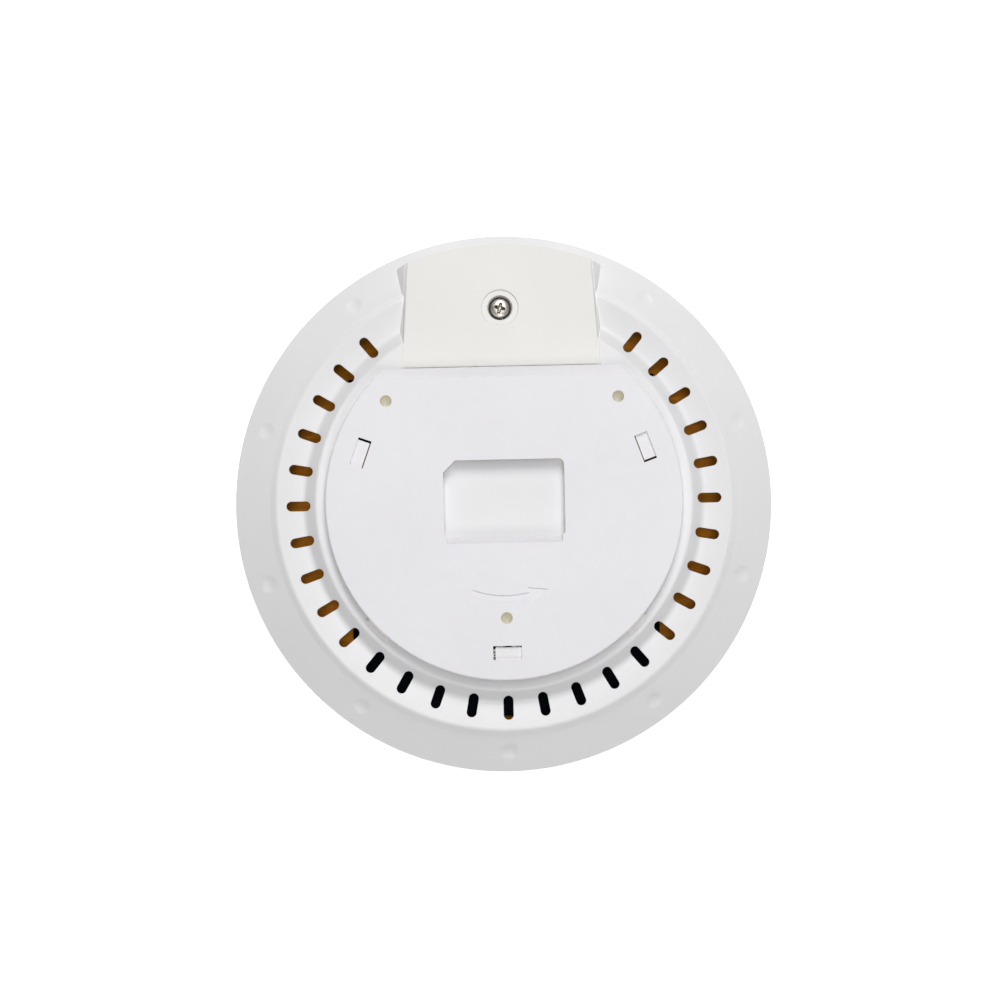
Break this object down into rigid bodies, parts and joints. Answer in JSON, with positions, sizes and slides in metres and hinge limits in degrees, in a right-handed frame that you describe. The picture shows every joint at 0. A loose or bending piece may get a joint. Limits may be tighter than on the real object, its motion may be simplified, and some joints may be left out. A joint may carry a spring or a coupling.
{
  "type": "ceiling access point",
  "caption": "Round ceiling-mounted wireless access point on a twist-lock bracket, with radial vent slots, a screwed port bay cover, network and power jacks and the electronics inside.",
  "frame": {"origin": "on the turning axis, in the plane of the ceiling bracket's face that meets the ceiling", "axes": "+Z into the ceiling, +Y from the centre to the port bay, +X to the right when the back is seen with the bay up"},
  "size_m": [0.19, 0.19, 0.038],
  "materials": {
    "bracket_plastic": "fine satin",
    "housing_plastic": "fine satin",
    "cover_plastic": "fine satin",
    "screw_steel": "nickel plated",
    "brass": "turned",
    "board": "solder mask",
    "passivated_steel": "yellow passivated",
    "plated_steel": "tin plated",
    "chip_black": "moulded epoxy",
    "pad_blue": "soft silicone",
    "aluminium": "extruded",
    "black_plastic": "satin",
    "gold_contact": "gold flash",
    "ferrite": "sintered",
    "winding_tape": "polyester tape",
    "capacitor_sleeve": "shrink sleeve",
    "lead_jacket": "smooth jacket",
    "led_resin": "diffuse resin",
    "clear_plastic": "clear acrylic"
  },
  "bodies": {
    "bracket": {"mount_bracket": "bracket_plastic"},
    "housing": {"rear_shell": "housing_plastic", "front_cover": "housing_plastic", "threaded_insert": "brass", "main_board": "board", "reflector_plate": "passivated_steel", "board_spacers": "plated_steel", "core_screws": "screw_steel", "main_processor": "chip_black", "thermal_pad": "pad_blue", "heat_sink": "aluminium", "memory_chips": "chip_black", "clock_crystal": "plated_steel", "radio_chips": "chip_black", "shield_frame_2g": "plated_steel", "shield_lid_2g": "plated_steel", "shield_frame_5g": "plated_steel", "shield_lid_5g": "plated_steel", "lan_jack_shield": "plated_steel", "lan_jack_insert": "black_plastic", "lan_jack_contacts": "gold_contact", "wan_jack_shield": "plated_steel", "wan_jack_insert": "black_plastic", "wan_jack_contacts": "gold_contact", "network_transformers": "chip_black", "dc_jack_body": "black_plastic", "dc_jack_pin": "plated_steel", "reset_switch": "black_plastic", "power_transformer_core": "ferrite", "power_transformer_winding": "winding_tape", "electrolytic_capacitors": "capacitor_sleeve", "power_inductors": "ferrite", "rf_connectors": "gold_contact", "antenna_2g_left": "plated_steel", "antenna_2g_right": "plated_steel", "antenna_5g_left": "plated_steel", "antenna_5g_right": "plated_steel", "antenna_lead_2g_left": "lead_jacket", "antenna_lead_2g_right": "lead_jacket", "antenna_lead_5g_left": "lead_jacket", "antenna_lead_5g_right": "lead_jacket", "status_led": "led_resin", "light_pipe": "clear_plastic"},
    "port_cover": {"bay_cover": "cover_plastic"},
    "cover_screw": {"bay_screw": "screw_steel"},
    "reset_plunger": {"reset_button": "black_plastic"}
  },
  "joints": [
    {"name": "device_twist", "type": "hinge", "parent": "bracket", "child": "housing", "pos_m": [0, 0, 0], "axis": [0, 0, 1], "range_deg": [-12, 0]},
    {"name": "bay_cover_lift", "type": "slide", "parent": "housing", "child": "port_cover", "axis": [0, 0, 1], "range_m": [0, 0.03]},
    {"name": "bay_screw_turn", "type": "hinge", "parent": "port_cover", "child": "cover_screw", "pos_m": [0, 0.0683, 0], "axis": [0, 0, 1], "continuous": true},
    {"name": "reset_button_press", "type": "slide", "parent": "housing", "child": "reset_plunger", "axis": [0, -1, 0], "range_m": [0, 0.0005], "stiffness_N_per_m": 2000}
  ]
}
